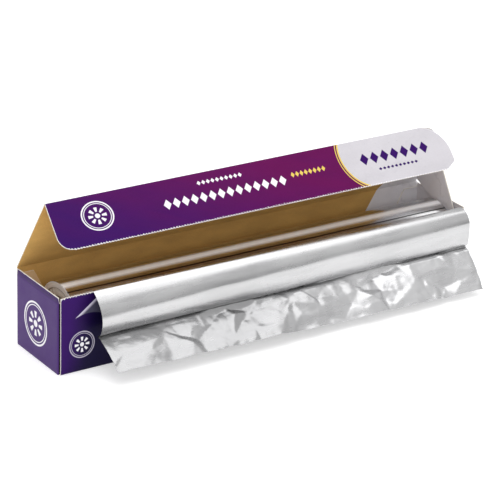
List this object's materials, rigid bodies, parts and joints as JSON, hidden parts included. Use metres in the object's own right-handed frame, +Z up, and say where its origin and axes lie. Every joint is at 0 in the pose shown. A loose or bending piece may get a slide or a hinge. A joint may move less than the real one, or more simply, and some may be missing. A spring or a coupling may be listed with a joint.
{
  "type": "aluminium foil roll in an open carton",
  "caption": "Open board carton with a hinged lid and front flap, holding a wound aluminium foil roll with its end drawn out over the front edge.",
  "frame": {"origin": "middle of the carton's base, where it meets the table", "axes": "+X along the carton, -Y towards its front wall, +Z up"},
  "size_m": [0.309, 0.0853, 0.1013],
  "materials": {
    "printed_board": "glossy print outside, plain brown board inside",
    "foil": "bright rolled foil, creased where it is drawn out",
    "core_paper": "pale grey wound paper"
  },
  "bodies": {
    "carton": {"carton_tray": "printed_board", "foil_roll": "foil", "core_tube": "core_paper"},
    "lid": {"lid_panel": "printed_board"},
    "flap": {"lid_flap": "printed_board"}
  },
  "joints": [
    {"name": "lid_hinge", "type": "hinge", "parent": "carton", "child": "lid", "pos_m": [0, 0.02665, 0.0522], "axis": [1, 0, 0], "range_deg": [-116, 28.5]},
    {"name": "flap_fold", "type": "hinge", "parent": "lid", "child": "flap", "pos_m": [0, 0.00251, 0.1009], "axis": [1, 0, 0], "range_deg": [-112, 58]}
  ]
}
